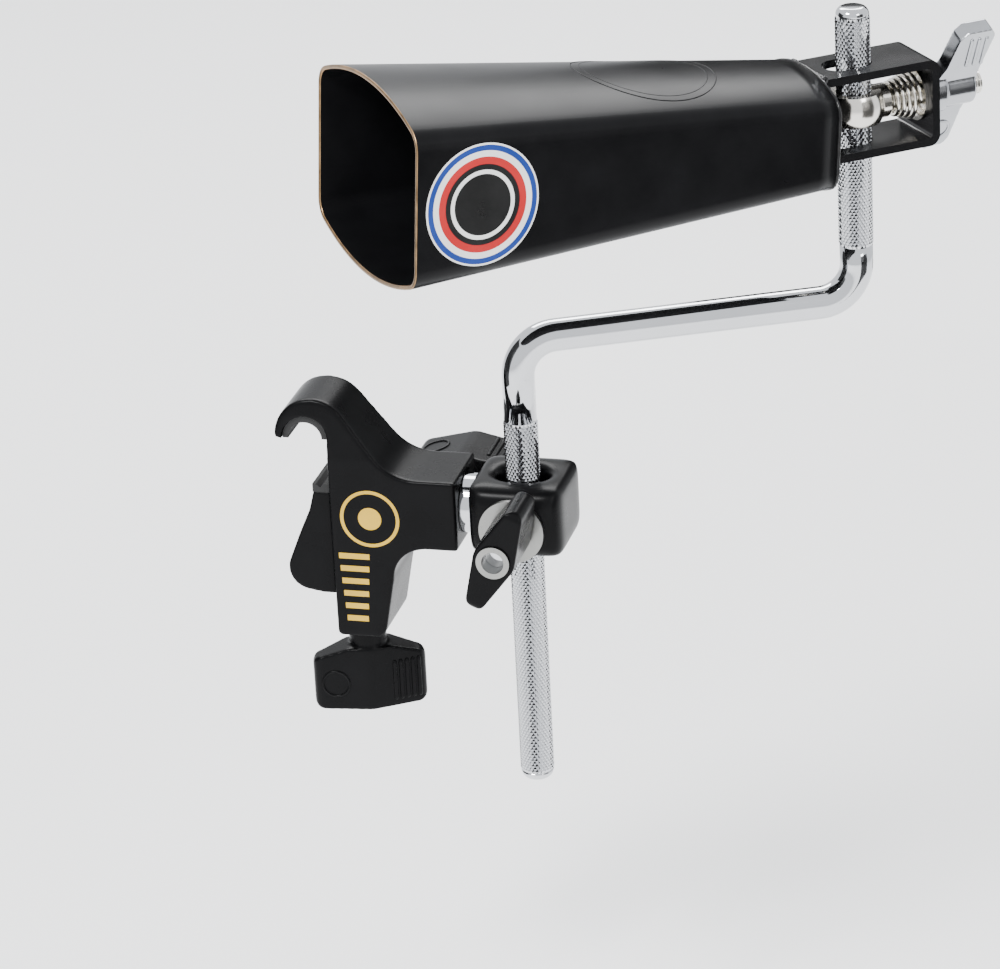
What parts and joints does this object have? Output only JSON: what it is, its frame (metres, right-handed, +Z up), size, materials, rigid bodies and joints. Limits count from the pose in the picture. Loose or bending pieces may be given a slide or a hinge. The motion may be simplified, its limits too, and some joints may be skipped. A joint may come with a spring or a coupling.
{
  "type": "mounted cowbell",
  "caption": "Steel cowbell on a bent knurled rod, with a swivelling rod clamp and a screw clamp that grips a drum's hoop.",
  "frame": {"origin": "middle of the clamp's jaw gap, on the flat face that the drum's hoop bears against", "axes": "+X from the drum outwards along the clamp's arm and swivel axis, +Z up along the rod's upright parts, +Y completes a right-handed frame"},
  "size_m": [0.2507, 0.1867, 0.2921],
  "materials": {
    "powder_coat": "satin black powder coat",
    "moulded_black": "fine-grained moulded black",
    "chrome_plate": "bright chrome",
    "nickel_plate": "bright nickel",
    "zinc_plate": "bright zinc",
    "brass": "turned",
    "rubber": "matt",
    "printed_label": "printed plain rings"
  },
  "bodies": {
    "claw": {"claw_body": "moulded_black", "hook_pad": "rubber", "spindle_bush": "zinc_plate"},
    "jaw": {"clamp_jaw": "moulded_black", "jaw_pad": "rubber", "jaw_clip": "zinc_plate"},
    "jaw_screw": {"jaw_spindle": "zinc_plate", "jaw_handle": "moulded_black"},
    "lock_shoe": {"lock_shoe": "brass"},
    "lock_screw": {"lock_bolt": "zinc_plate", "lock_handle": "moulded_black"},
    "swivel": {"clamp_stud": "chrome_plate", "rod_clamp_block": "moulded_black", "rod_eye_bolt": "chrome_plate"},
    "clamp_washer": {"clamp_washer": "zinc_plate"},
    "clamp_nut": {"wing_handle": "moulded_black", "wing_insert": "chrome_plate"},
    "rod": {"z_rod": "chrome_plate"},
    "bell": {"bell_shell": "powder_coat", "bell_end_cap": "powder_coat", "bell_bracket": "powder_coat", "bell_eye_bolt": "nickel_plate", "eye_spring": "nickel_plate", "spring_washer": "nickel_plate", "bell_decal": "printed_label"},
    "nut_washer": {"nut_washer": "zinc_plate"},
    "bell_nut": {"bell_wing_nut": "chrome_plate"}
  },
  "joints": [
    {"name": "jaw_slide", "type": "slide", "parent": "claw", "child": "jaw", "axis": [0, 0, 1], "range_m": [-0.014, 0.0009]},
    {"name": "jaw_screw_turn", "type": "hinge", "parent": "jaw", "child": "jaw_screw", "pos_m": [0.0067, 0, -0.071], "axis": [0, 0, 1], "range_deg": [-4040, 265]},
    {"name": "lock_shoe_slide", "type": "slide", "parent": "claw", "child": "lock_shoe", "axis": [0, 1, 0], "range_m": [0, 0.0025]},
    {"name": "lock_turn", "type": "hinge", "parent": "lock_shoe", "child": "lock_screw", "pos_m": [0.0395, 0.015, -0.021], "axis": [0, 1, 0], "range_deg": [-5, 725]},
    {"name": "swivel_turn", "type": "hinge", "parent": "claw", "child": "swivel", "pos_m": [0.048, 0, -0.021], "axis": [1, 0, 0], "range_deg": [-90, 90]},
    {"name": "clamp_washer_slide", "type": "slide", "parent": "swivel", "child": "clamp_washer", "axis": [0, -1, 0], "range_m": [0, 0.005]},
    {"name": "clamp_nut_turn", "type": "hinge", "parent": "clamp_washer", "child": "clamp_nut", "pos_m": [0.0695, -0.021, -0.0225], "axis": [0, -1, 0], "range_deg": [-5, 1445]},
    {"name": "rod_slide", "type": "slide", "parent": "swivel", "child": "rod", "axis": [0, 0, 1], "range_m": [-0.035, 0.08]},
    {"name": "bell_turn", "type": "hinge", "parent": "rod", "child": "bell", "pos_m": [0.18302, 0.05537, 0.1176], "axis": [0, 0, 1], "continuous": true},
    {"name": "nut_washer_slide", "type": "slide", "parent": "bell", "child": "nut_washer", "axis": [0.788, 0.6157, 0], "range_m": [0, 0.00375]},
    {"name": "bell_nut_turn", "type": "hinge", "parent": "nut_washer", "child": "bell_nut", "pos_m": [0.20666, 0.07384, 0.1176], "axis": [0.788, 0.6157, 0], "range_deg": [-5, 1085]}
  ],
  "couplings": [
    {"joint": "jaw_screw_turn", "follows": "jaw_slide", "rad_per_m": 5026.5},
    {"joint": "lock_turn", "follows": "lock_shoe_slide", "rad_per_m": 5026.5},
    {"joint": "clamp_nut_turn", "follows": "clamp_washer_slide", "rad_per_m": 5026.5},
    {"joint": "bell_nut_turn", "follows": "nut_washer_slide", "rad_per_m": 5026.5}
  ]
}
